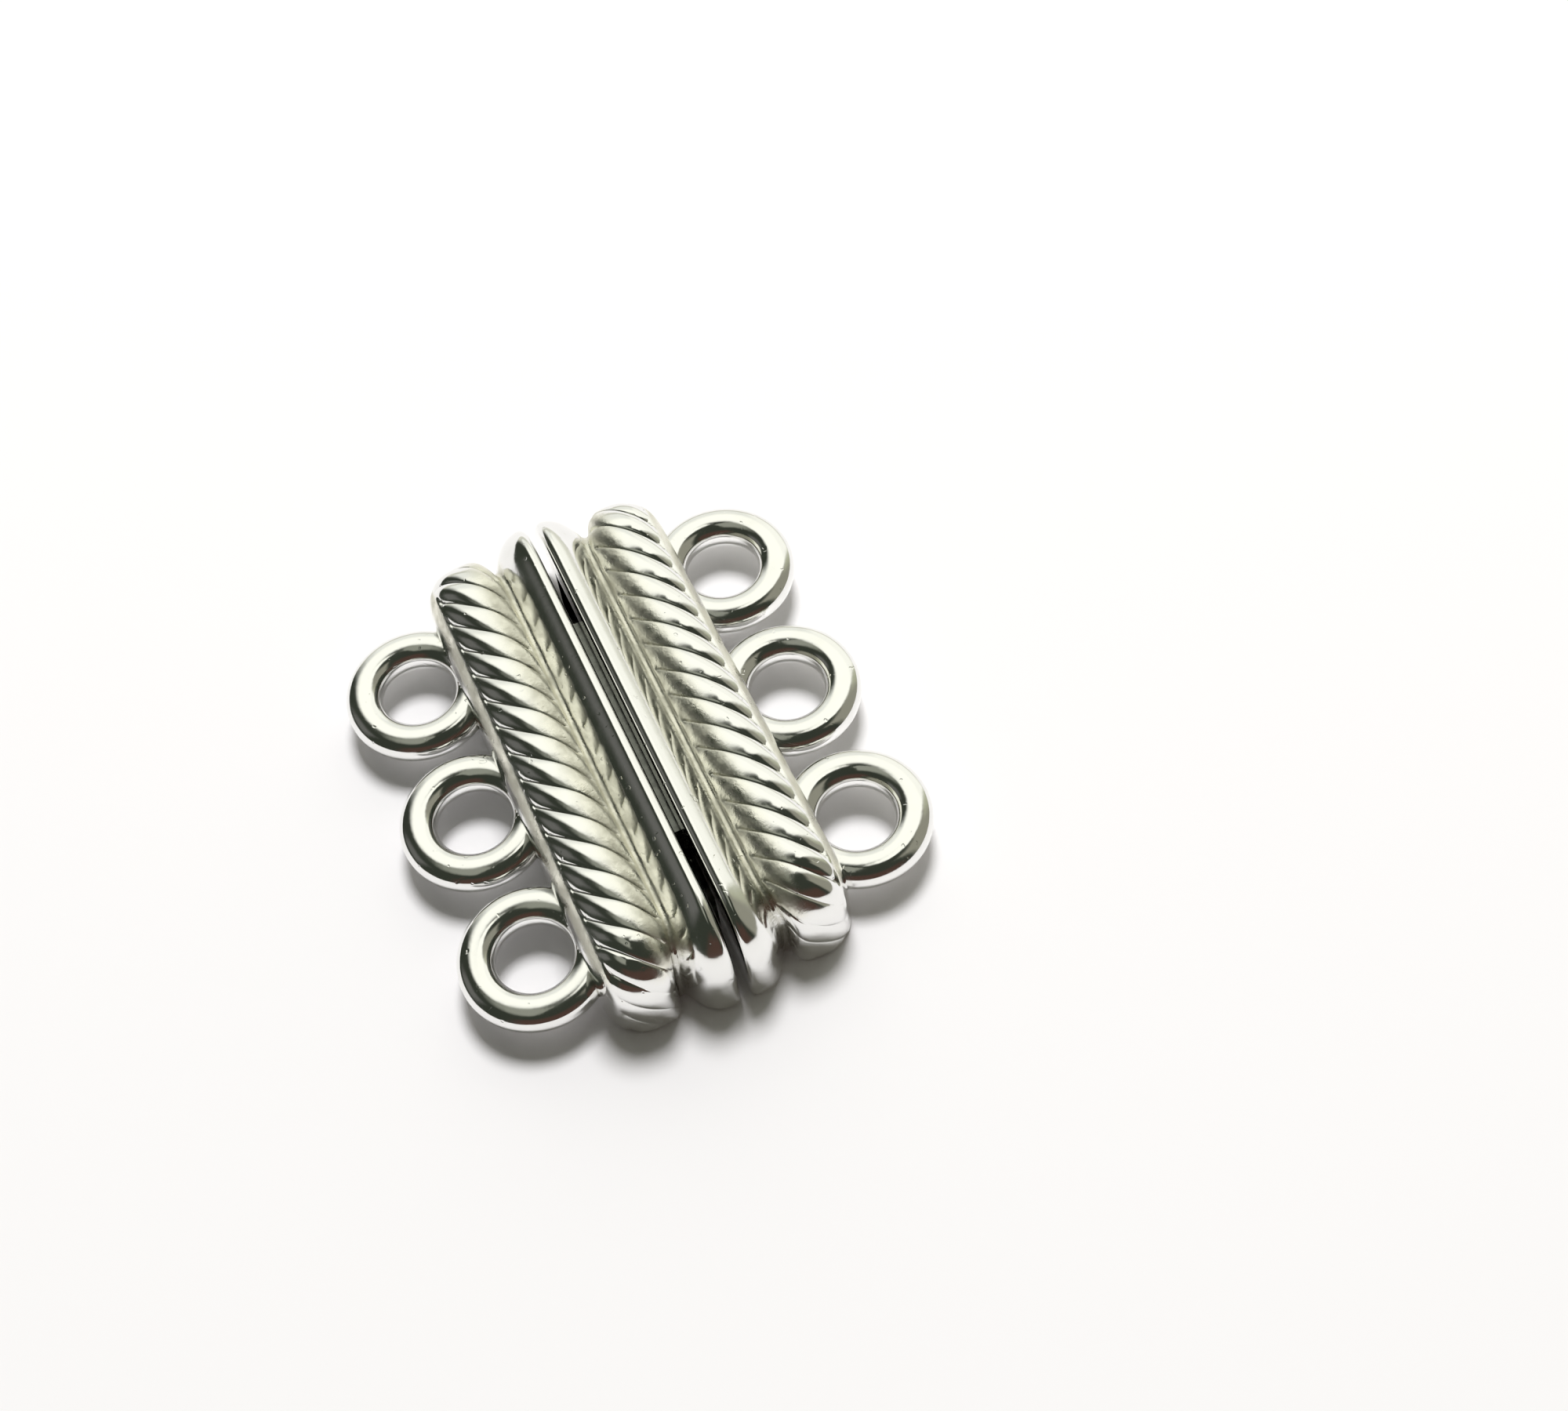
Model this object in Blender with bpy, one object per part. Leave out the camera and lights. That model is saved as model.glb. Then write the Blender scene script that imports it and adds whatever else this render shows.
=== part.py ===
# Three-strand magnetic clasp, closed: two cast halves with rope bars, smooth rails and loops,
# and a strip magnet in each mating face. X runs from loop row to loop row, Y along the bars.
# The clasp lies on its flat underside, on the XY plane.
import math

import bmesh
import bpy

MM = 0.001

# Closed joint and seats
MATING_GAP = 0.3 * MM            # between the two mating faces
SEAT_GAP = 0.3 * MM              # round and behind each magnet, and between the magnets

# Loops
STRAND_PITCH = 5.0 * MM
STRANDS = 3
LOOP_HOLE = 2.3 * MM
LOOP_WIRE = 1.12 * MM
LOOP_HEIGHT = 1.1 * MM           # plane of the loops, above the underside
LOOP_STANDOFF = 0.1 * MM         # bar's wall to the edge of the hole
LOOP_SEGMENTS = 28
WIRE_SEGMENTS = 10

# Bars, heights above the underside
BAR_OVERHANG = 3.45 * MM         # last loop's middle to the end of the rail
RAIL_HEIGHT = 3.7 * MM
RAIL_WIDTH = 1.12 * MM           # mating face to valley
RAIL_EDGE_RADIUS = 0.25 * MM     # top edge at the mating face
RAIL_SLOPE = 1.45                # 1 is a plane down to the valley, more arches it
VALLEY_HEIGHT = 2.9 * MM         # between rail and rope
ROPE_HEIGHT = 3.4 * MM
ROPE_RADIUS = 1.495 * MM
ROPE_FULLNESS = 2.3              # 2 is a round rope, more fills out its shoulders
ROPE_OFFSET = 0.04 * MM          # valley to the rope's inner edge
END_SPRING_HEIGHT = 1.4 * MM     # the bar ends are upright below this and turn over above it
END_FULLNESS = 2.5               # 2 turns over on a circle, more fills out the corner
END_VALLEY_DROP = 0.1 * MM       # the valley is deeper on the end faces by this
END_VALLEY_SHIFT = 0.27 * MM     # and lies further out by this
END_RAIL_FULLNESS = 3.3          # the more, the flatter the rail's end face up to the valley

# Twisted ribs of the rope
RIB_PITCH = 1.01 * MM            # along the bar
RIB_DEPTH = 0.22 * MM
RIB_PHASE = 0.33 * MM            # a groove's outer tip, along Y, on the +X half
END_RIB_FADE = 0.6               # share of the depth lost towards the underside of an end
RIB_INNER_ANGLE = -45.0          # degrees round the rope from its crest, towards the rail
RIB_OUTER_ANGLE = 48.0           # towards the loops, where the grooves run out
ROWS_PER_RIB = 4                 # mesh rows for each rib
SHOULDER_COLUMNS = 3             # smooth band from the grooves' tips to the upright wall

# Magnets and their pockets
MAGNET_LENGTH = 8.1 * MM
MAGNET_HEIGHT = 1.2 * MM
MAGNET_SHIFT = 0.4 * MM          # along Y: the strip isn't quite in the middle
PROUD_MAGNET_DEPTH = 1.5 * MM
MAGNET_PROUD = 0.4 * MM          # how far it stands out of its mating face
SUNK_MAGNET_DEPTH = 0.8 * MM
LONG_POCKET_SPARE = 1.85 * MM    # past the proud magnet, in the pocket that takes it
POCKET_ROOF = 0.3 * MM           # metal between a pocket and the valley

# Worked out from the above
HALF_GAP = MATING_GAP / 2
VALLEY_U = HALF_GAP + RAIL_WIDTH
RIDGE_U = HALF_GAP + RAIL_EDGE_RADIUS
ROPE_CENTRE_HEIGHT = ROPE_HEIGHT - ROPE_RADIUS
BAR_LENGTH = (STRANDS - 1) * STRAND_PITCH + 2 * BAR_OVERHANG
END_PIVOT = BAR_LENGTH / 2 - (RAIL_HEIGHT - END_SPRING_HEIGHT)
END_TURN_RADIUS = ROPE_HEIGHT - END_SPRING_HEIGHT
ROW_STEP = RIB_PITCH / ROWS_PER_RIB
LOOP_RADIUS = (LOOP_HOLE + LOOP_WIRE) / 2
POCKET_HEIGHT = MAGNET_HEIGHT + 2 * SEAT_GAP
MAGNET_CENTRE_HEIGHT = VALLEY_HEIGHT - POCKET_ROOF - POCKET_HEIGHT / 2
LONG_POCKET_LENGTH = MAGNET_LENGTH + 2 * (MAGNET_SHIFT + LONG_POCKET_SPARE)


def rope_reach(angle):
    """The rope's centre to its surface, at an angle in degrees from the crest."""
    turn = math.radians(angle)
    powers = abs(math.sin(turn)) ** ROPE_FULLNESS + abs(math.cos(turn)) ** ROPE_FULLNESS
    return ROPE_RADIUS * powers ** (-1 / ROPE_FULLNESS)


INNER_EDGE_REACH = -rope_reach(RIB_INNER_ANGLE) * math.sin(math.radians(RIB_INNER_ANGLE))
ROPE_CENTRE_U = VALLEY_U + ROPE_OFFSET + INNER_EDGE_REACH
WALL_U = ROPE_CENTRE_U + ROPE_RADIUS
LOOP_U = WALL_U + LOOP_STANDOFF + LOOP_HOLE / 2


def clear_scene():
    for item in list(bpy.data.objects):
        bpy.data.objects.remove(item, do_unlink=True)


def new_collection(name):
    collection = bpy.data.collections.new(name)
    bpy.context.scene.collection.children.link(collection)
    return collection


def metal(name, colour, roughness):
    material = bpy.data.materials.new(name)
    material.use_nodes = True
    shader = material.node_tree.nodes["Principled BSDF"]
    shader.inputs["Base Color"].default_value = (*colour, 1.0)
    shader.inputs["Metallic"].default_value = 1.0
    shader.inputs["Roughness"].default_value = roughness
    return material


def add_object(name, mesh, collection, material=None):
    item = bpy.data.objects.new(name, mesh)
    if material:
        mesh.materials.append(material)
    collection.objects.link(item)
    return item


def make_cutter(item):
    item.hide_render = True
    item.display_type = "WIRE"
    return item


# The profile across one half, from the mating face out to the wall. The valley share is 1 for
# what moves with the valley on the end faces and 0 for what keeps the profile.

def rail_columns(edge_steps=3, slope_steps=5):
    """Distance from the clasp's middle, height, end reach and valley share of the rail's columns."""
    columns = []
    full_reach = RAIL_HEIGHT - END_SPRING_HEIGHT
    for step in range(edge_steps + 1):
        turn = math.radians(90.0) * step / edge_steps
        rounding = RAIL_EDGE_RADIUS * (1 - math.sin(turn))
        columns.append((HALF_GAP + RAIL_EDGE_RADIUS * (1 - math.cos(turn)),
                        RAIL_HEIGHT - rounding, full_reach - rounding, 0.0))
    for step in range(1, slope_steps + 1):
        share = step / slope_steps
        setback = RAIL_HEIGHT - VALLEY_HEIGHT + END_VALLEY_DROP
        columns.append((RIDGE_U + share * (VALLEY_U - RIDGE_U),
                        RAIL_HEIGHT - (RAIL_HEIGHT - VALLEY_HEIGHT) * share ** RAIL_SLOPE,
                        full_reach - setback * share ** END_RAIL_FULLNESS, share ** 2))
    return columns


def rope_columns(column_angle=10.5, valley_reach=35.0):
    """Angle round the rope and valley share of its columns, and the angle between two of them."""
    count = round((RIB_OUTER_ANGLE - RIB_INNER_ANGLE) / column_angle)
    step = (RIB_OUTER_ANGLE - RIB_INNER_ANGLE) / count
    angles = [RIB_INNER_ANGLE + step * index for index in range(count + 1)]
    angles += [RIB_OUTER_ANGLE + (90.0 - RIB_OUTER_ANGLE) * index / SHOULDER_COLUMNS
               for index in range(1, SHOULDER_COLUMNS + 1)]
    shares = [max(0.0, 1 - (angle - RIB_INNER_ANGLE) / valley_reach) ** 2 for angle in angles]
    return list(zip(angles, shares)), step


def end_turn(travel):
    """Angle turned over the end of the bar, from 0 on the straight to a right angle."""
    return min(max((abs(travel) - END_PIVOT) / END_TURN_RADIUS, 0.0), math.pi / 2)


def rib_drop(travel, angle, column_step):
    """Depth under the rope's crest surface: each column shifts the ribs by one row of the mesh."""
    if angle >= RIB_OUTER_ANGLE:
        return 0.0
    groove = RIB_PHASE + ROW_STEP * (RIB_OUTER_ANGLE - angle) / column_step
    phase = (travel - groove) / RIB_PITCH
    fade = 1 - END_RIB_FADE * math.sin(end_turn(travel)) ** 4
    return RIB_DEPTH * fade * (1 - abs(math.sin(math.pi * phase)) ** 0.8)


# A column's way: up one end face, over the top and down the other end face.

def travel_rows():
    limit = END_PIVOT + END_TURN_RADIUS * math.pi / 2 + END_SPRING_HEIGHT
    first = math.ceil((-limit - RIB_PHASE) / ROW_STEP + 0.5)
    last = math.floor((limit - RIB_PHASE) / ROW_STEP - 0.5)
    inner = [RIB_PHASE + ROW_STEP * index for index in range(first, last + 1)]
    return [-limit] + inner + [limit]


def point_on_way(travel, u, height, reach, valley_share):
    """A profile point with its height on the top and its reach past the turn's pivot on the ends."""
    turn = end_turn(travel)
    if turn == 0.0:
        return u, travel, height
    powers = math.sin(turn) ** END_FULLNESS + abs(math.cos(turn)) ** END_FULLNESS
    corner = powers ** (-1 / END_FULLNESS)
    down = max(abs(travel) - END_PIVOT - END_TURN_RADIUS * math.pi / 2, 0.0)
    rise = (height - END_SPRING_HEIGHT) * corner * math.cos(turn)
    y = math.copysign(END_PIVOT + reach * corner * math.sin(turn), travel)
    u += END_VALLEY_SHIFT * valley_share * math.sin(turn) ** 2
    return u, y, END_SPRING_HEIGHT + rise - down


def bar_mesh():
    """Loft of lengthwise sections, from the mating face to the outer wall."""
    rows = travel_rows()
    sections = [[point_on_way(travel, *column) for travel in rows] for column in rail_columns()]
    columns, column_step = rope_columns()
    for angle, share in columns:
        turn = math.radians(angle)
        section = []
        for travel in rows:
            reach = rope_reach(angle) - rib_drop(travel, angle, column_step)
            u = ROPE_CENTRE_U + reach * math.sin(turn)
            height = ROPE_CENTRE_HEIGHT + reach * math.cos(turn)
            end_reach = height - END_SPRING_HEIGHT - END_VALLEY_DROP * share
            section.append(point_on_way(travel, u, height, end_reach, share))
        sections.append(section)

    shape = bmesh.new()
    rings = [[shape.verts.new(point) for point in section] for section in sections]
    for inner, outer in zip(rings, rings[1:]):
        for index in range(len(rows) - 1):
            shape.faces.new((inner[index], outer[index], inner[index + 1]))
            shape.faces.new((outer[index], outer[index + 1], inner[index + 1]))
        shape.faces.new((inner[-1], outer[-1], outer[0], inner[0]))
    shape.faces.new(rings[0])
    shape.faces.new(list(reversed(rings[-1])))
    bmesh.ops.recalc_face_normals(shape, faces=shape.faces)
    mesh = bpy.data.meshes.new("bar")
    shape.to_mesh(mesh)
    shape.free()
    return mesh


def add_loops(collection, side):
    """The loops' rings, later joined to one half's bar."""
    for index in range(STRANDS):
        offset = (index - (STRANDS - 1) / 2) * STRAND_PITCH
        bpy.ops.mesh.primitive_torus_add(
            major_segments=LOOP_SEGMENTS, minor_segments=WIRE_SEGMENTS,
            major_radius=LOOP_RADIUS, minor_radius=LOOP_WIRE / 2,
            location=(side * LOOP_U, offset, LOOP_HEIGHT), rotation=(0, 0, 0 if side > 0 else math.pi))
        ring = bpy.context.object
        ring.name = f"{'right' if side > 0 else 'left'}_ring_{index + 1}"
        for owner in list(ring.users_collection):
            owner.objects.unlink(ring)
        collection.objects.link(make_cutter(ring))


def box(name, collection, near_x, far_x, length, height, y, material=None):
    shape = bmesh.new()
    bmesh.ops.create_cube(shape, size=1.0)
    bmesh.ops.scale(shape, vec=(abs(far_x - near_x), length, height), verts=shape.verts)
    mesh = bpy.data.meshes.new(name)
    shape.to_mesh(mesh)
    shape.free()
    item = add_object(name, mesh, collection, material)
    item.location = ((near_x + far_x) / 2, y, MAGNET_CENTRE_HEIGHT)
    return item


def add_boolean(item, name, operation, operand):
    modifier = item.modifiers.new(name, "BOOLEAN")
    modifier.operation = operation
    modifier.solver = "EXACT"
    if isinstance(operand, bpy.types.Collection):
        modifier.operand_type = "COLLECTION"
        modifier.collection = operand
    else:
        modifier.object = operand


def shade(item):
    item.data.shade_smooth()
    item.data.set_sharp_from_angle(angle=math.radians(40))


def build():
    clear_scene()
    clasp = new_collection("magnetic_loop_clasp")
    cutters = new_collection("cutters")
    plated = metal("plated_cast_alloy", (0.84, 0.84, 0.82), 0.12)
    nickel = metal("nickel_plated_magnet", (0.70, 0.69, 0.65), 0.25)

    proud_back = -(HALF_GAP - MAGNET_PROUD + PROUD_MAGNET_DEPTH)
    proud_front = -(HALF_GAP - MAGNET_PROUD)
    sunk_front = proud_front + SEAT_GAP
    sunk_back = sunk_front + SUNK_MAGNET_DEPTH
    pocket_over = MATING_GAP / 2     # the cutters start here, clear of the mating faces

    left_pocket = make_cutter(box("left_pocket", cutters, proud_back - SEAT_GAP, -HALF_GAP + pocket_over,
                                  MAGNET_LENGTH + 2 * SEAT_GAP, POCKET_HEIGHT, MAGNET_SHIFT))
    right_pocket = make_cutter(box("right_pocket", cutters, HALF_GAP - pocket_over, sunk_back + SEAT_GAP,
                                   LONG_POCKET_LENGTH, POCKET_HEIGHT, 0.0))

    halves = {}
    for side, name, pocket in ((-1, "left_half", left_pocket), (1, "right_half", right_pocket)):
        rings = bpy.data.collections.new(f"{name}_rings")
        cutters.children.link(rings)
        add_loops(rings, side)
        half = add_object(name, bar_mesh(), clasp, plated)
        half.rotation_euler.z = 0 if side > 0 else math.pi
        shade(half)
        add_boolean(half, "loops", "UNION", rings)
        add_boolean(half, "pocket", "DIFFERENCE", pocket)
        halves[side] = half

    box("left_magnet", clasp, proud_back, proud_front,
        MAGNET_LENGTH, MAGNET_HEIGHT, MAGNET_SHIFT, nickel)
    right_magnet = box("right_magnet", clasp, sunk_front, sunk_back,
                       MAGNET_LENGTH, MAGNET_HEIGHT, MAGNET_SHIFT, nickel)

    # The right half pulls straight off along +X, with its magnet
    pull_axis = bpy.data.objects.new("pull_axis", None)
    clasp.objects.link(pull_axis)
    for item in (halves[1], right_magnet):
        item.parent = pull_axis


build()
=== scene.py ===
import math

import bmesh
import bpy
import numpy as np
from mathutils import Matrix, Vector


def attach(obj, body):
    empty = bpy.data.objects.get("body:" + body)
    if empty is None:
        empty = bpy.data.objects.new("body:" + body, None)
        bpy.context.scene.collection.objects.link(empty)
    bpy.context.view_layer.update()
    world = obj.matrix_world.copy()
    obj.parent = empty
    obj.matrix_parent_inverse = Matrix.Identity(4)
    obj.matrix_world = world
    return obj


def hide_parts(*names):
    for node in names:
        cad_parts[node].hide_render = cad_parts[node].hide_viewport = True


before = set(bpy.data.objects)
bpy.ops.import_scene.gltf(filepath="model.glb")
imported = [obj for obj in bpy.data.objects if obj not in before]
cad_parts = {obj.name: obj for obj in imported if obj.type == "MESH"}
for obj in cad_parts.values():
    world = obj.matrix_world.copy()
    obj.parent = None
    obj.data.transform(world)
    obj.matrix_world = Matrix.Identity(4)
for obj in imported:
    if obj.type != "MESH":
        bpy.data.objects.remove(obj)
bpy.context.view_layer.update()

MM = 0.001

# Sizes of the CAD model, in metres. U is the distance from the plane between the two halves.
HALF_GAP = 0.15 * MM
RAIL_HEIGHT = 3.7 * MM
RAIL_EDGE_RADIUS = 0.25 * MM
RAIL_SLOPE = 1.45
RIDGE_U = HALF_GAP + RAIL_EDGE_RADIUS
VALLEY_HEIGHT = 2.9 * MM
VALLEY_U = 1.27 * MM
ROPE_HEIGHT = 3.4 * MM
ROPE_RADIUS = 1.495 * MM
ROPE_CENTRE_HEIGHT = ROPE_HEIGHT - ROPE_RADIUS
WALL_U = 3.911 * MM
END_SPRING_HEIGHT = 1.4 * MM
END_FULLNESS = 2.5
END_VALLEY_DROP = 0.1 * MM
END_VALLEY_SHIFT = 0.27 * MM
END_RAIL_FULLNESS = 3.3
END_PIVOT = 6.15 * MM
END_TURN_RADIUS = ROPE_HEIGHT - END_SPRING_HEIGHT
STRAND_PITCH = 5.0 * MM
STRANDS = 3
LOOP_RADIUS = 1.71 * MM
LOOP_WIRE = 1.12 * MM
LOOP_THICKNESS = 1.0 * MM
LOOP_FULLNESS = 2.35
LOOP_HEIGHT = 1.1 * MM
LOOP_U = WALL_U + 0.1 * MM + 1.15 * MM
POCKET_CENTRE_HEIGHT = 1.7 * MM
POCKET_HEIGHT = 1.8 * MM
POCKET_LOW = POCKET_CENTRE_HEIGHT - POCKET_HEIGHT / 2
POCKET_HIGH = POCKET_CENTRE_HEIGHT + POCKET_HEIGHT / 2
LEFT_POCKET = ((-1.55 * MM, -3.95 * MM, POCKET_LOW), (0.0, 4.75 * MM, POCKET_HIGH))
RIGHT_POCKET = ((0.0, -6.3 * MM, POCKET_LOW), (1.65 * MM, 6.3 * MM, POCKET_HIGH))

# The rope's cross-section: fuller than a circle, steeper towards the rail
CREST_U = 2.56 * MM
INNER_REACH, INNER_FULLNESS = 1.25 * MM, 2.7
OUTER_REACH, OUTER_FULLNESS = WALL_U - CREST_U, 2.3
ROPE_START_RISE = 0.04 * MM      # above the valley, where the rope's own surface begins
CHANNEL = ((1.33, 2.86), (1.40, 2.845), (1.46, 2.865), (1.50, 2.92))   # u and height, in mm
END_SHIFT_FROM, END_SHIFT_FADE = 1.5 * MM, 0.75 * MM

# The ribs as cast
RIB_PITCH = 1.01 * MM
RIB_DEPTH = 0.115 * MM
RIB_PHASE = 0.36 * MM            # a groove's outer tip, along the bar
RIB_SLANT = 0.9                  # along the bar, for each step across it
RIB_CROWN_RADIUS = 0.75 * MM
RIB_OUTER_U = 3.55 * MM
RIB_INNER_U, RIB_INNER_FADE = 1.49 * MM, 0.13 * MM
RIB_TIP_RAMP, RIB_TIP_BLUNTNESS = 0.12 * MM, 0.8
END_RIB_FADE = 0.6
GROOVE_WALL = math.tan(math.radians(50.0))
GROOVE_LINE = 0.022 * MM         # what's left of a groove over the top
GROOVE_BLEND = 0.015 * MM

# Shares of the ribs' depth: over the top, and what comes to it towards the wall and the rail
RELIEF_TOP = 0.36
RELIEF_WALL, WALL_RELIEF_FROM, WALL_RELIEF_FADE = 0.64, 2.3 * MM, 0.8 * MM
RELIEF_RAIL, RAIL_RELIEF_FROM, RAIL_RELIEF_FADE = 0.45, 2.2 * MM, 0.45 * MM

# Fineness of the meshes
ROWS_PER_RIB = 24
RAIL_EDGE_SECTIONS = 9
RAIL_SECTIONS = 19
SHOULDER_SECTIONS = 22
SECTION_SAMPLES = 4001
FOOT_RADIUS, FOOT_STEPS = 0.12 * MM, 3
LOOP_STEPS, WIRE_STEPS = 112, 44
SHARP_ANGLE = math.radians(65)

# Noises of the materials: scale, detail and roughness
CLOUD = (900.0, 3.0, 0.6)
SAND = (1800.0, 3.0, 0.6)
CAST = (7500.0, 3.0, 0.65)
PEEL = (2600.0, 2.0, 0.5)
PITS = (4200.0, 1.0, 0.5)
MAGNET_GRAIN = (3500.0, 4.0, 0.6)
RISING, FALLING = (0.0, 1.0), (1.0, 0.0)

# The plating. Its rough zones lie above ROUGH_ABOVE, beside the rail and along the wall.
# The dull colour gives dull patches of plating at random, and it is also laid into the grooves'
# creases as painted shade.
DULL_PLATING_AND_CREASE_SHADE, CLEAN_PLATING = (0.56, 0.55, 0.49), (0.90, 0.90, 0.88)
CLEAN_SPAN = (-1.0, 0.6)
CREASE_SHADE_SPAN = (0.44, 0.5)        # pointiness over which the painted crease shade fades out, from the bottom of a groove to a flat place
ROUGH_ABOVE = (2.3 * MM, 2.7 * MM)
ROUGH_FROM_RAIL, ROUGH_TO_ROPE = (1.2 * MM, 1.4 * MM), (1.9 * MM, 2.6 * MM)
ROUGH_FROM_WALL = (3.5 * MM, 3.62 * MM)
ROUGH_COLOUR, ROUGH_TINT = (0.84, 0.825, 0.70), 0.8
POLISH_SPAN, POLISH_ROUGHNESS = (0.35, 0.7), (0.07, 0.15)
SAND_SPAN, SAND_ROUGHNESS = (0.3, 0.7), (0.16, 0.42)
PIT_SPAN = (0.70, 0.78)
CAST_DEPTH, PEEL_DEPTH, PIT_DEPTH = 0.016 * MM, 0.004 * MM, 0.006 * MM

# The magnets
MAGNET_DARK, MAGNET_LIGHT = (0.13, 0.14, 0.125), (0.24, 0.245, 0.225)
MAGNET_SPAN, MAGNET_ROUGHNESS = (0.3, 0.7), (0.18, 0.34)
MAGNET_GRAIN_DEPTH = 0.004 * MM

# The floor
FLOOR_RADIUS, FLOOR_SEGMENTS = 3.0, 96
FLOOR_COLOUR = (0.94, 0.925, 0.945, 1.0)
FLOOR_ROUGHNESS, FLOOR_SPECULAR = 0.9, 0.1

# The camera, fitted to the loops' outlines: angles in radians, pixels of the photograph
IMAGE_WIDTH, IMAGE_HEIGHT = 2000, 1800
CAMERA_AZIMUTH, CAMERA_ELEVATION, CAMERA_ROLL = -0.306745573, 1.02195224, -0.137116635
CAMERA_DISTANCE = 71.3722531 * MM
CAMERA_FOCAL = 3000.0
CENTRE_PIXEL = (807.618334, 963.774289)
SENSOR_WIDTH = 36.0
CLIP_START, CLIP_END = 1 * MM, 20.0

# The surroundings. Each panel has a colour, azimuths from +X and elevations in degrees, the
# softness of its lower and upper edges and that of its sides. Later panels cover earlier ones.
ROOM_COLOUR = (0.035, 0.04, 0.03)
PANELS = (
    ((0.28, 0.275, 0.22), (-42.0, 26.0), (-5.0, 64.0), 7.0, 7.0),        # grey, at the right
    ((0.075, 0.044, 0.034), (-140.0, -60.0), (-10.0, 38.0), 12.0, 12.0),  # brown, at the viewer
    ((0.28, 0.29, 0.24), (95.0, 235.0), (66.0, 95.0), 7.0, 7.0),         # grey, overhead
    ((0.13, 0.13, 0.12), (140.0, 172.0), (14.0, 44.0), 8.0, 8.0),        # dark, at the left
    ((0.45, 0.46, 0.34), (8.0, 40.0), (-10.0, 40.0), 8.0, 8.0),          # warm, beside the window
    ((0.88, 0.89, 0.82), (24.0, 106.0), (10.0, 69.0), 4.0, 12.0),        # the window
    ((1.14, 1.14, 1.03), (24.0, 106.0), (38.0, 69.0), 9.0, 12.0),        # its upper half
    ((1.14, 1.14, 1.03), (24.0, 62.0), (40.0, 80.0), 4.0, 4.0),          # its top right corner
    ((1.05, 1.05, 0.96), (22.0, 60.0), (2.0, 44.0), 4.0, 4.0),           # its lower right half
    ((0.72, 0.72, 0.62), (30.0, 110.0), (-25.0, 10.0), 6.0, 6.0),        # the sill below it
)
HALF_TURN = 180.0

# The key light, in metres and watts
KEY_DIRECTION = (0.20, 0.38, 0.90)
KEY_DISTANCE, KEY_SIZE, KEY_POWER = 0.5, 0.17, 2.1


# Castings

def end_turn(travel):
    """The angle turned over an end, from 0 on the bar to a quarter turn on the end face."""
    return np.clip((np.abs(travel) - END_PIVOT) / END_TURN_RADIUS, 0.0, math.pi / 2)


def on_way(travel, u, height, reach, share):
    """A profile point carried up one end face, along the bar and down the other end face."""
    turn = end_turn(travel)
    across, upward = np.sin(turn), np.cos(turn)
    corner = (across ** END_FULLNESS + np.abs(upward) ** END_FULLNESS) ** (-1 / END_FULLNESS)
    down = np.maximum(np.abs(travel) - END_PIVOT - END_TURN_RADIUS * math.pi / 2, 0.0)
    bent = np.copysign(END_PIVOT + reach * corner * across, travel)
    y = np.where(turn > 0, bent, travel)
    rise = (height - END_SPRING_HEIGHT) * corner * upward
    z = np.where(turn > 0, END_SPRING_HEIGHT + rise - down, height)
    return np.stack([u + END_VALLEY_SHIFT * share * across ** 2, y, z], axis=-1)


def rope_height(u):
    reach = np.where(u < CREST_U, INNER_REACH, OUTER_REACH)
    fullness = np.where(u < CREST_U, INNER_FULLNESS, OUTER_FULLNESS)
    out = np.clip(np.abs(u - CREST_U) / reach, 0.0, 1.0)
    return ROPE_CENTRE_HEIGHT + ROPE_RADIUS * (1 - out ** fullness) ** (1 / fullness)


def rope_profile(step):
    """Points with outward normals at equal steps along the section, and their way from the tips."""
    turn = np.linspace(-math.pi / 2, math.pi / 2, SECTION_SAMPLES)
    u = CREST_U + np.where(turn < 0, INNER_REACH, OUTER_REACH) * np.sin(turn)
    height = rope_height(u)
    keep = (u > CREST_U) | (height > VALLEY_HEIGHT + ROPE_START_RISE)
    u, height = u[keep], height[keep]
    way = np.concatenate([[0.0], np.cumsum(np.hypot(np.diff(u), np.diff(height)))])
    tip = np.interp(RIB_OUTER_U, u, way)
    step /= RIB_SLANT
    inner = tip - step * math.floor(tip / step)
    places = np.concatenate([np.arange(inner, tip + step / 2, step),
                             np.linspace(tip, way[-1], SHOULDER_SECTIONS)[1:]])
    u, height = np.interp(places, way, u), np.interp(places, way, height)
    along = np.stack([np.gradient(u), np.gradient(height)], axis=1)
    along /= np.linalg.norm(along, axis=1)[:, None]
    return u, height, -along[:, 1], along[:, 0], tip - places


def smooth(share):
    share = np.clip(share, 0.0, 1.0)
    return share ** 2 * (3 - 2 * share)


def rib_relief(u):
    """Share of the ribs' depth: full on the outer side and shallow over the top."""
    outward = smooth((u - WALL_RELIEF_FROM) / WALL_RELIEF_FADE)
    inward = smooth((RAIL_RELIEF_FROM - u) / RAIL_RELIEF_FADE)
    return RELIEF_TOP + RELIEF_WALL * outward + RELIEF_RAIL * inward


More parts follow.
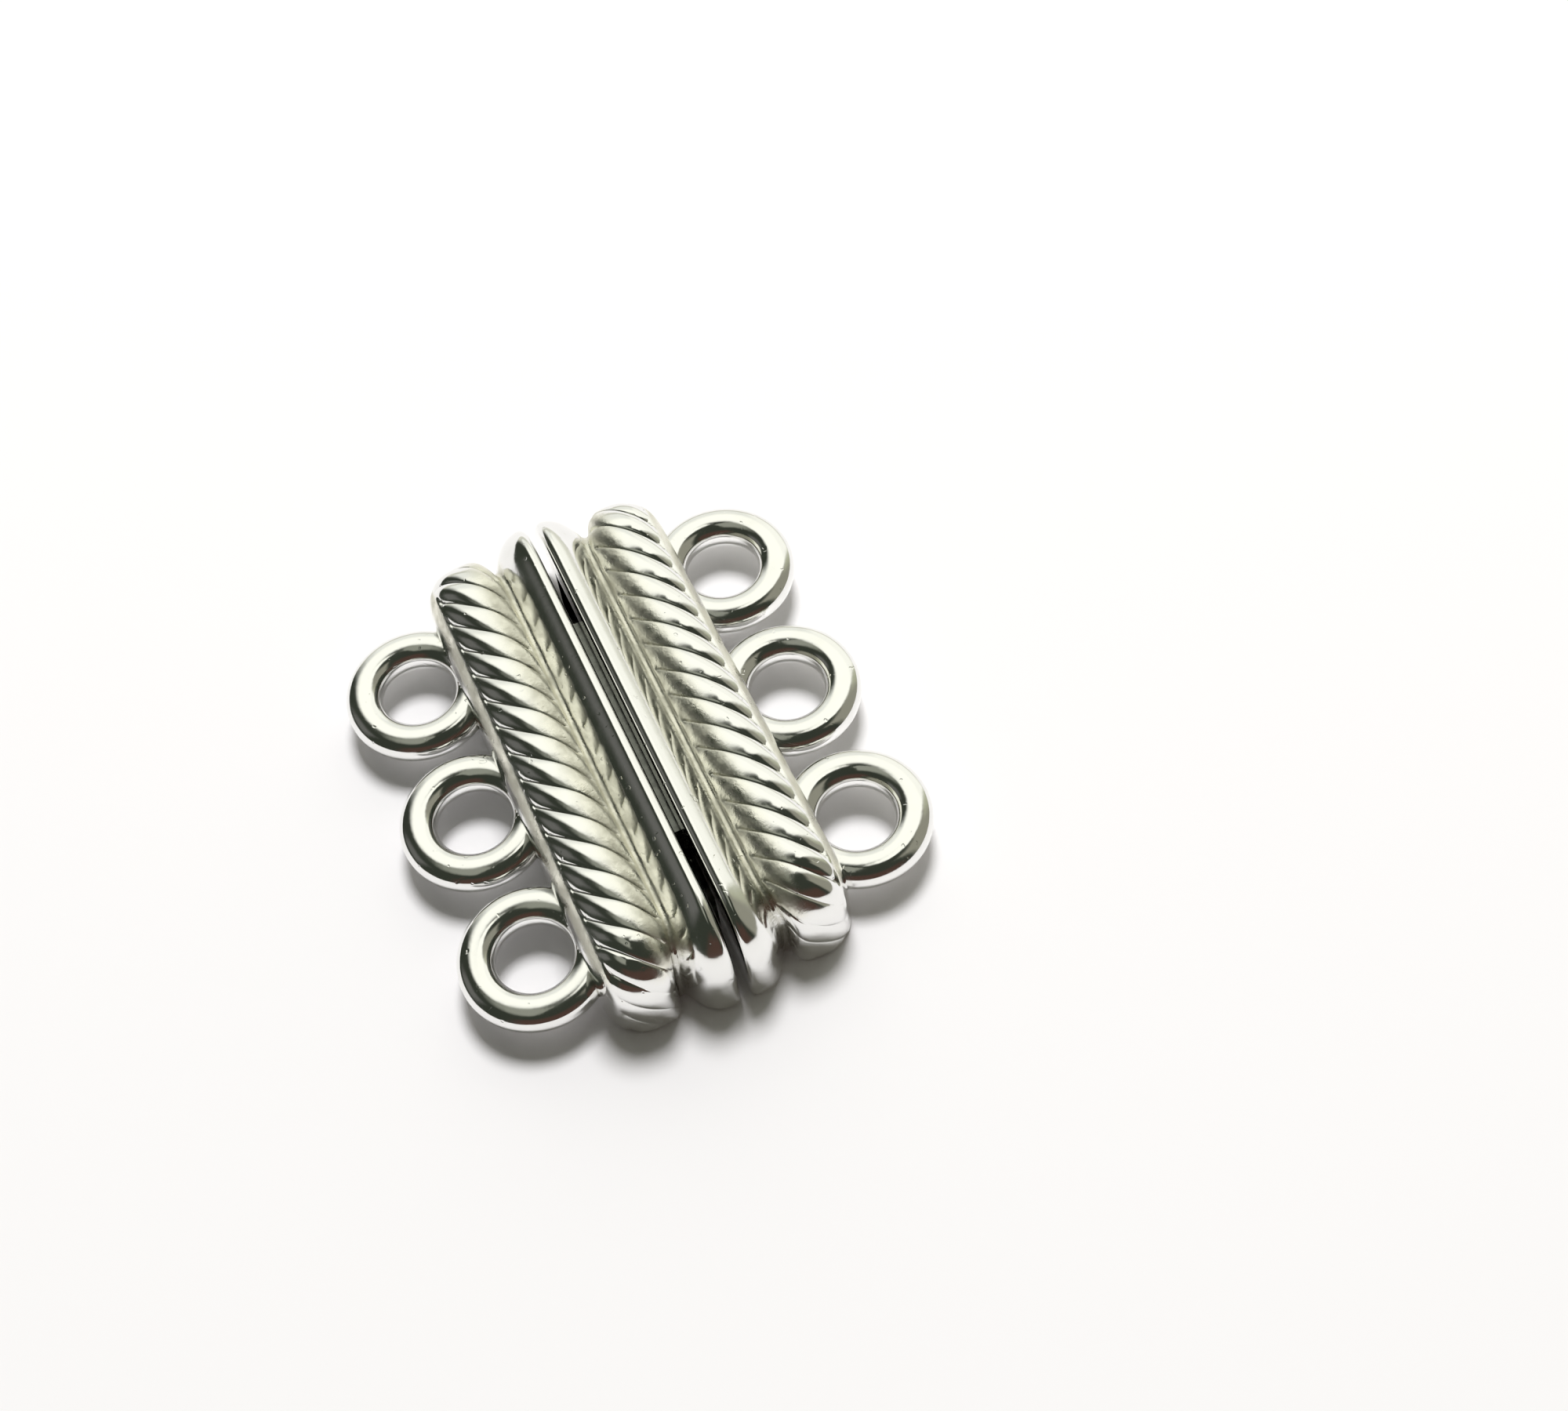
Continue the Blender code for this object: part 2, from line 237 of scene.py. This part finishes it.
def rib_drop(travel, u, inward):
    """Softly crowned ribs with narrow grooves between them, blunt at their outer ends."""
    phase = (travel - RIB_PHASE - inward * RIB_SLANT) / RIB_PITCH
    width = RIB_PITCH / math.hypot(1.0, RIB_SLANT)
    aside = np.abs(phase - np.round(phase)) * width
    relief = rib_relief(u)
    crown = relief * (width / 2 - aside) ** 2 / (2 * RIB_CROWN_RADIUS)
    wall = relief * (RIB_DEPTH - GROOVE_LINE) + GROOVE_LINE - aside * GROOVE_WALL
    drop = (crown + wall + np.sqrt((crown - wall) ** 2 + GROOVE_BLEND ** 2)) / 2
    outer_ramp = RIB_DEPTH * np.clip(inward / RIB_TIP_RAMP, 0.0, 1.0) ** RIB_TIP_BLUNTNESS
    drop = np.minimum(drop, outer_ramp) * smooth((u - RIB_INNER_U) / RIB_INNER_FADE)
    return drop * (1 - END_RIB_FADE * np.sin(end_turn(travel)) ** 4)


def bar_sections():
    """Lines along the bar, from the rail's mating edge over the rope to the wall."""
    limit = END_PIVOT + END_TURN_RADIUS * math.pi / 2 + END_SPRING_HEIGHT - FOOT_RADIUS
    step = RIB_PITCH / ROWS_PER_RIB
    first = math.ceil((-limit - RIB_PHASE) / step + 0.5)
    last = math.floor((limit - RIB_PHASE) / step - 0.5)
    rows = [RIB_PHASE + step * i for i in range(first, last + 1)]
    travel = np.array([-limit] + rows + [limit])
    sections = []
    full_reach = RAIL_HEIGHT - END_SPRING_HEIGHT
    for turn in np.radians(np.linspace(0.0, 90.0, RAIL_EDGE_SECTIONS)):
        u = HALF_GAP + RAIL_EDGE_RADIUS * (1 - math.cos(turn))
        rounding = RAIL_EDGE_RADIUS * (1 - math.sin(turn))
        sections.append(on_way(travel, u, RAIL_HEIGHT - rounding, full_reach - rounding, 0.0))
    setback = RAIL_HEIGHT - VALLEY_HEIGHT + END_VALLEY_DROP
    for share in np.linspace(0.0, 1.0, RAIL_SECTIONS)[1:]:
        height = RAIL_HEIGHT - (RAIL_HEIGHT - VALLEY_HEIGHT) * share ** RAIL_SLOPE
        reach = full_reach - setback * share ** END_RAIL_FULLNESS
        u = RIDGE_U + share * (VALLEY_U - RIDGE_U)
        sections.append(on_way(travel, u, height, reach, share ** 2))
    for u, height in CHANNEL:
        reach = height * MM - END_SPRING_HEIGHT - END_VALLEY_DROP
        sections.append(on_way(travel, u * MM, height * MM, reach, 1.0))
    for u, height, normal_u, normal_height, inward in zip(*rope_profile(step)):
        share = max(0.0, 1 - (u - END_SHIFT_FROM) / END_SHIFT_FADE) ** 2
        drop = rib_drop(travel, u, inward)
        ribbed = height - drop * normal_height
        reach = ribbed - END_SPRING_HEIGHT - END_VALLEY_DROP * share
        sections.append(on_way(travel, u - drop * normal_u, ribbed, reach, share))
    return np.array(sections)


def foot_rings(outline):
    """The outline at the foot, drawn in step by step over a small radius."""
    before = np.roll(outline, 1, axis=0)
    after = np.roll(outline, -1, axis=0)
    along = after[:, :2] - before[:, :2]
    along /= np.linalg.norm(along, axis=1)[:, None]
    inward = np.stack([-along[:, 1], along[:, 0]], axis=1)
    centre = outline[:, :2].mean(axis=0)
    if ((centre - outline[:, :2]) * inward).sum() < 0:
        inward = -inward
    rings = []
    for turn in np.linspace(0.0, math.pi / 2, FOOT_STEPS + 1)[1:]:
        ring = outline.copy()
        ring[:, :2] += inward * FOOT_RADIUS * (1 - math.cos(turn))
        ring[:, 2] = FOOT_RADIUS * (1 - math.sin(turn))
        rings.append(ring)
    return rings


def to_mesh(shape, name):
    mesh = bpy.data.meshes.new(name)
    shape.to_mesh(mesh)
    shape.free()
    return mesh


def bar_mesh():
    shape = bmesh.new()
    grid = [[shape.verts.new(point) for point in section] for section in bar_sections()]
    for inner, outer in zip(grid, grid[1:]):
        for i in range(len(inner) - 1):
            shape.faces.new((inner[i], outer[i], inner[i + 1]))
            shape.faces.new((outer[i], outer[i + 1], inner[i + 1]))
    outline = [column[-1] for column in grid] + [column[0] for column in reversed(grid)]
    previous = outline
    for ring in foot_rings(np.array([tuple(v.co) for v in outline])):
        current = [shape.verts.new(point) for point in ring]
        for i in range(len(outline)):
            j = (i + 1) % len(outline)
            shape.faces.new((previous[i], previous[j], current[j], current[i]))
        previous = current
    shape.faces.new(previous)
    shape.faces.new(grid[0])
    shape.faces.new(grid[-1])
    bmesh.ops.recalc_face_normals(shape, faces=shape.faces)
    return to_mesh(shape, "bar")


def full_round(turn, half_width, half_height, fullness):
    """A point of an ellipse that is filled out towards its box."""
    out = abs(math.cos(turn)) ** (2 / fullness) * half_width
    up = abs(math.sin(turn)) ** (2 / fullness) * half_height
    return math.copysign(out, math.cos(turn)), math.copysign(up, math.sin(turn))


def ring_mesh(u, y):
    """A loop of slightly flattened wire."""
    shape = bmesh.new()
    rows = []
    for i in range(LOOP_STEPS):
        turn = 2 * math.pi * i / LOOP_STEPS
        row = []
        for j in range(WIRE_STEPS):
            out, up = full_round(2 * math.pi * (j + 0.5) / WIRE_STEPS,
                                 LOOP_WIRE / 2, LOOP_THICKNESS / 2, LOOP_FULLNESS)
            reach = LOOP_RADIUS + out
            row.append(shape.verts.new((u + reach * math.cos(turn), y + reach * math.sin(turn),
                                        LOOP_HEIGHT + up)))
        rows.append(row)
    for i in range(LOOP_STEPS):
        for j in range(WIRE_STEPS):
            a, b = rows[i], rows[(i + 1) % LOOP_STEPS]
            k = (j + 1) % WIRE_STEPS
            shape.faces.new((a[j], b[j], b[k], a[k]))
    bmesh.ops.recalc_face_normals(shape, faces=shape.faces)
    return to_mesh(shape, "ring")


def box_mesh(low, high):
    shape = bmesh.new()
    bmesh.ops.create_cube(shape, size=1.0)
    bmesh.ops.scale(shape, vec=Vector(high) - Vector(low), verts=shape.verts)
    bmesh.ops.translate(shape, vec=(Vector(low) + Vector(high)) / 2, verts=shape.verts)
    return to_mesh(shape, "box")


def add(name, data):
    item = bpy.data.objects.new(name, data)
    bpy.context.scene.collection.objects.link(item)
    return item


def casting(name, side, pocket):
    """One half: bar, three loops and the magnet's pocket in one closed mesh."""
    half_turn = Matrix.Rotation(math.pi, 4, "Z")
    body = add(name, bar_mesh())
    if side < 0:
        body.data.transform(half_turn)
    tools = []
    for index in range(STRANDS):
        tool = add("tool", ring_mesh(LOOP_U, (index - 1) * STRAND_PITCH))
        if side < 0:
            tool.data.transform(half_turn)
        tools.append((tool, "UNION"))
    tools.append((add("tool", box_mesh(*pocket)), "DIFFERENCE"))
    for tool, operation in tools:
        modifier = body.modifiers.new("cut", "BOOLEAN")
        modifier.operation = operation
        modifier.solver = "EXACT"
        modifier.object = tool
    graph = bpy.context.evaluated_depsgraph_get()
    mesh = bpy.data.meshes.new_from_object(body.evaluated_get(graph))
    body.modifiers.clear()
    body.data = mesh
    for tool, _ in tools:
        bpy.data.objects.remove(tool, do_unlink=True)
    mesh.shade_smooth()
    mesh.set_sharp_from_angle(angle=SHARP_ANGLE)
    return body


# Materials

def new_material(name):
    material = bpy.data.materials.new(name)
    material.use_nodes = True
    tree = material.node_tree
    return material, tree, tree.nodes["Principled BSDF"]


def noise(tree, place, settings):
    node = tree.nodes.new("ShaderNodeTexNoise")
    for socket, value in zip(("Scale", "Detail", "Roughness"), settings):
        node.inputs[socket].default_value = value
    tree.links.new(place, node.inputs["Vector"])
    return node.outputs["Fac"]


def ramp(tree, source, span, to):
    """A smooth step over a span of the source, from one value to another."""
    node = tree.nodes.new("ShaderNodeMapRange")
    node.interpolation_type = "SMOOTHSTEP"
    for socket, value in zip(("From Min", "From Max", "To Min", "To Max"), (*span, *to)):
        node.inputs[socket].default_value = value
    tree.links.new(source, node.inputs["Value"])
    return node.outputs["Result"]


def mix(tree, factor, first, second):
    """Two colours mixed, each a tuple or a socket."""
    node = tree.nodes.new("ShaderNodeMix")
    node.data_type = "RGBA"
    for socket, colour in ((node.inputs["A"], first), (node.inputs["B"], second)):
        if isinstance(colour, tuple):
            socket.default_value = (*colour, 1.0)
        else:
            tree.links.new(colour, socket)
    tree.links.new(factor, node.inputs["Factor"])
    return node.outputs["Result"]


def bump(tree, height, distance, normal=None):
    node = tree.nodes.new("ShaderNodeBump")
    node.inputs["Distance"].default_value = distance
    node.inputs["Strength"].default_value = 1.0
    tree.links.new(height, node.inputs["Height"])
    if normal:
        tree.links.new(normal, node.inputs["Normal"])
    return node.outputs["Normal"]


def operate(tree, operation, first, second=0.0, third=0.0):
    """One step of arithmetic on numbers or sockets."""
    node = tree.nodes.new("ShaderNodeMath")
    node.operation = operation
    for socket, value in zip(node.inputs, (first, second, third)):
        if isinstance(value, (int, float)):
            socket.default_value = value
        else:
            tree.links.new(value, socket)
    return node.outputs[0]


def rough_zone(tree, place):
    """1 where the casting is left rough: beside the rail and along the wall, on the upper side."""
    split = tree.nodes.new("ShaderNodeSeparateXYZ")
    tree.links.new(place, split.inputs[0])
    across = operate(tree, "ABSOLUTE", split.outputs["X"])
    above = ramp(tree, split.outputs["Z"], ROUGH_ABOVE, RISING)
    beside_rail = operate(tree, "MULTIPLY", ramp(tree, across, ROUGH_FROM_RAIL, RISING),
                          ramp(tree, across, ROUGH_TO_ROPE, FALLING))
    at_wall = ramp(tree, across, ROUGH_FROM_WALL, RISING)
    return operate(tree, "MULTIPLY", above, operate(tree, "ADD", beside_rail, at_wall))


def plated_metal():
    """Bright plating: faint orange peel, cloudy polish, painted shade darkening the creases, pits
    and rough zones.
    """
    material, tree, shader = new_material("bright_plating")
    place = tree.nodes.new("ShaderNodeTexCoord").outputs["Object"]
    shader.inputs["Metallic"].default_value = 1.0
    cloud = noise(tree, place, CLOUD)
    pointiness = tree.nodes.new("ShaderNodeNewGeometry").outputs["Pointiness"]
    # Painted shade: the base colour darkens towards the dull colour where the pointiness is low, in
    # the creases of the grooves.
    clean_share_less_crease_shade = operate(tree, "SUBTRACT", cloud, ramp(tree, pointiness, CREASE_SHADE_SPAN, FALLING))
    plating = mix(tree, ramp(tree, clean_share_less_crease_shade, CLEAN_SPAN, RISING), DULL_PLATING_AND_CREASE_SHADE, CLEAN_PLATING)
    rough = rough_zone(tree, place)
    tint = operate(tree, "MULTIPLY", rough, ROUGH_TINT)
    tree.links.new(mix(tree, tint, plating, ROUGH_COLOUR), shader.inputs["Base Color"])
    polish = ramp(tree, cloud, POLISH_SPAN, POLISH_ROUGHNESS)
    sand = ramp(tree, noise(tree, place, SAND), SAND_SPAN, SAND_ROUGHNESS)
    matt = operate(tree, "MULTIPLY", rough, sand)
    tree.links.new(operate(tree, "ADD", matt, polish), shader.inputs["Roughness"])
    grains = operate(tree, "MULTIPLY", noise(tree, place, CAST), rough)
    cast = bump(tree, grains, CAST_DEPTH)
    peel = bump(tree, noise(tree, place, PEEL), PEEL_DEPTH, cast)
    pits = ramp(tree, noise(tree, place, PITS), PIT_SPAN, FALLING)
    tree.links.new(bump(tree, pits, PIT_DEPTH, peel), shader.inputs["Normal"])
    return material


def magnet_metal():
    """Dark nickel with a fine grain."""
    material, tree, shader = new_material("nickel_magnet")
    place = tree.nodes.new("ShaderNodeTexCoord").outputs["Object"]
    shader.inputs["Metallic"].default_value = 1.0
    grain = noise(tree, place, MAGNET_GRAIN)
    tree.links.new(mix(tree, grain, MAGNET_DARK, MAGNET_LIGHT), shader.inputs["Base Color"])
    tree.links.new(ramp(tree, grain, MAGNET_SPAN, MAGNET_ROUGHNESS), shader.inputs["Roughness"])
    tree.links.new(bump(tree, grain, MAGNET_GRAIN_DEPTH), shader.inputs["Normal"])
    return material


# Studio

def add_camera():
    azimuth, elevation, roll = CAMERA_AZIMUTH, CAMERA_ELEVATION, CAMERA_ROLL
    back = Vector((math.sin(azimuth) * math.cos(elevation),
                   -math.cos(azimuth) * math.cos(elevation), math.sin(elevation)))
    right = Vector((0, 0, 1)).cross(back).normalized()
    up = back.cross(right)
    across = math.cos(roll) * right + math.sin(roll) * up
    upward = -math.sin(roll) * right + math.cos(roll) * up
    aim = Vector(((CENTRE_PIXEL[0] - IMAGE_WIDTH / 2) / CAMERA_FOCAL,
                  -(CENTRE_PIXEL[1] - IMAGE_HEIGHT / 2) / CAMERA_FOCAL, -1.0))
    place = (-(aim.x * across + aim.y * upward + aim.z * back) * CAMERA_DISTANCE
             + Vector((0, 0, LOOP_HEIGHT)))
    data = bpy.data.cameras.new("camera")
    data.sensor_width = SENSOR_WIDTH
    data.lens = CAMERA_FOCAL / IMAGE_WIDTH * SENSOR_WIDTH
    data.clip_start = CLIP_START
    data.clip_end = CLIP_END
    camera = add("camera", data)
    camera.matrix_world = Matrix(((across.x, upward.x, back.x, place.x),
                                  (across.y, upward.y, back.y, place.y),
                                  (across.z, upward.z, back.z, place.z), (0, 0, 0, 1)))
    bpy.context.scene.camera = camera


def add_floor():
    shape = bmesh.new()
    bmesh.ops.create_circle(shape, cap_ends=True, radius=FLOOR_RADIUS, segments=FLOOR_SEGMENTS)
    floor = add("floor", to_mesh(shape, "floor"))
    material, tree, shader = new_material("white_paper")
    shader.inputs["Base Color"].default_value = FLOOR_COLOUR
    shader.inputs["Roughness"].default_value = FLOOR_ROUGHNESS
    shader.inputs["Specular IOR Level"].default_value = FLOOR_SPECULAR
    floor.data.materials.append(material)


def add_surroundings():
    """A white window at the far right, a dark room at the left and a brown one near the viewer."""
    world = bpy.data.worlds.new("studio")
    bpy.context.scene.world = world
    world.use_nodes = True
    tree = world.node_tree
    split = tree.nodes.new("ShaderNodeSeparateXYZ")
    tree.links.new(tree.nodes.new("ShaderNodeTexCoord").outputs["Generated"], split.inputs[0])
    x, y, z = split.outputs
    azimuth = operate(tree, "DEGREES", operate(tree, "ARCTAN2", y, x))
    elevation = operate(tree, "DEGREES", operate(tree, "ARCSINE", z))
    seen = ROOM_COLOUR
    for colour, azimuths, (low, high), soft, side_soft in PANELS:
        middle = (azimuths[0] + azimuths[1]) / 2
        half = (azimuths[1] - azimuths[0]) / 2
        turned = operate(tree, "SUBTRACT", azimuth, middle)
        aside = operate(tree, "ABSOLUTE", operate(tree, "WRAP", turned, HALF_TURN, -HALF_TURN))
        mask = ramp(tree, aside, (half - side_soft, half + side_soft), FALLING)
        for edge, direction in ((low, RISING), (high, FALLING)):
            mask = operate(tree, "MULTIPLY", mask,
                           ramp(tree, elevation, (edge - soft, edge + soft), direction))
        seen = mix(tree, mask, seen, colour)
    tree.links.new(seen, tree.nodes["Background"].inputs["Color"])


def add_key_light():
    """A soft round light that casts the shadows. It isn't seen in reflections."""
    data = bpy.data.lights.new("key", "AREA")
    data.shape = "DISK"
    data.size = KEY_SIZE
    data.energy = KEY_POWER
    light = add("key", data)
    light.visible_glossy = False
    light.location = Vector(KEY_DIRECTION).normalized() * KEY_DISTANCE
    light.rotation_euler = light.location.to_track_quat("Z", "Y").to_euler()


# Scene

bright = plated_metal()
nickel = magnet_metal()
left = casting("left_casting", -1, LEFT_POCKET)
right = casting("right_casting", 1, RIGHT_POCKET)
for piece, body in ((left, "left_half"), (right, "right_half")):
    piece.data.materials.clear()
    piece.data.materials.append(bright)
    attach(piece, body)
    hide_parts(body)
for name in ("left_magnet", "right_magnet"):
    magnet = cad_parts[name]
    magnet.data.materials.clear()
    magnet.data.materials.append(nickel)

add_camera()
add_floor()
add_surroundings()
add_key_light()
bpy.context.scene.view_settings.view_transform = "Standard"
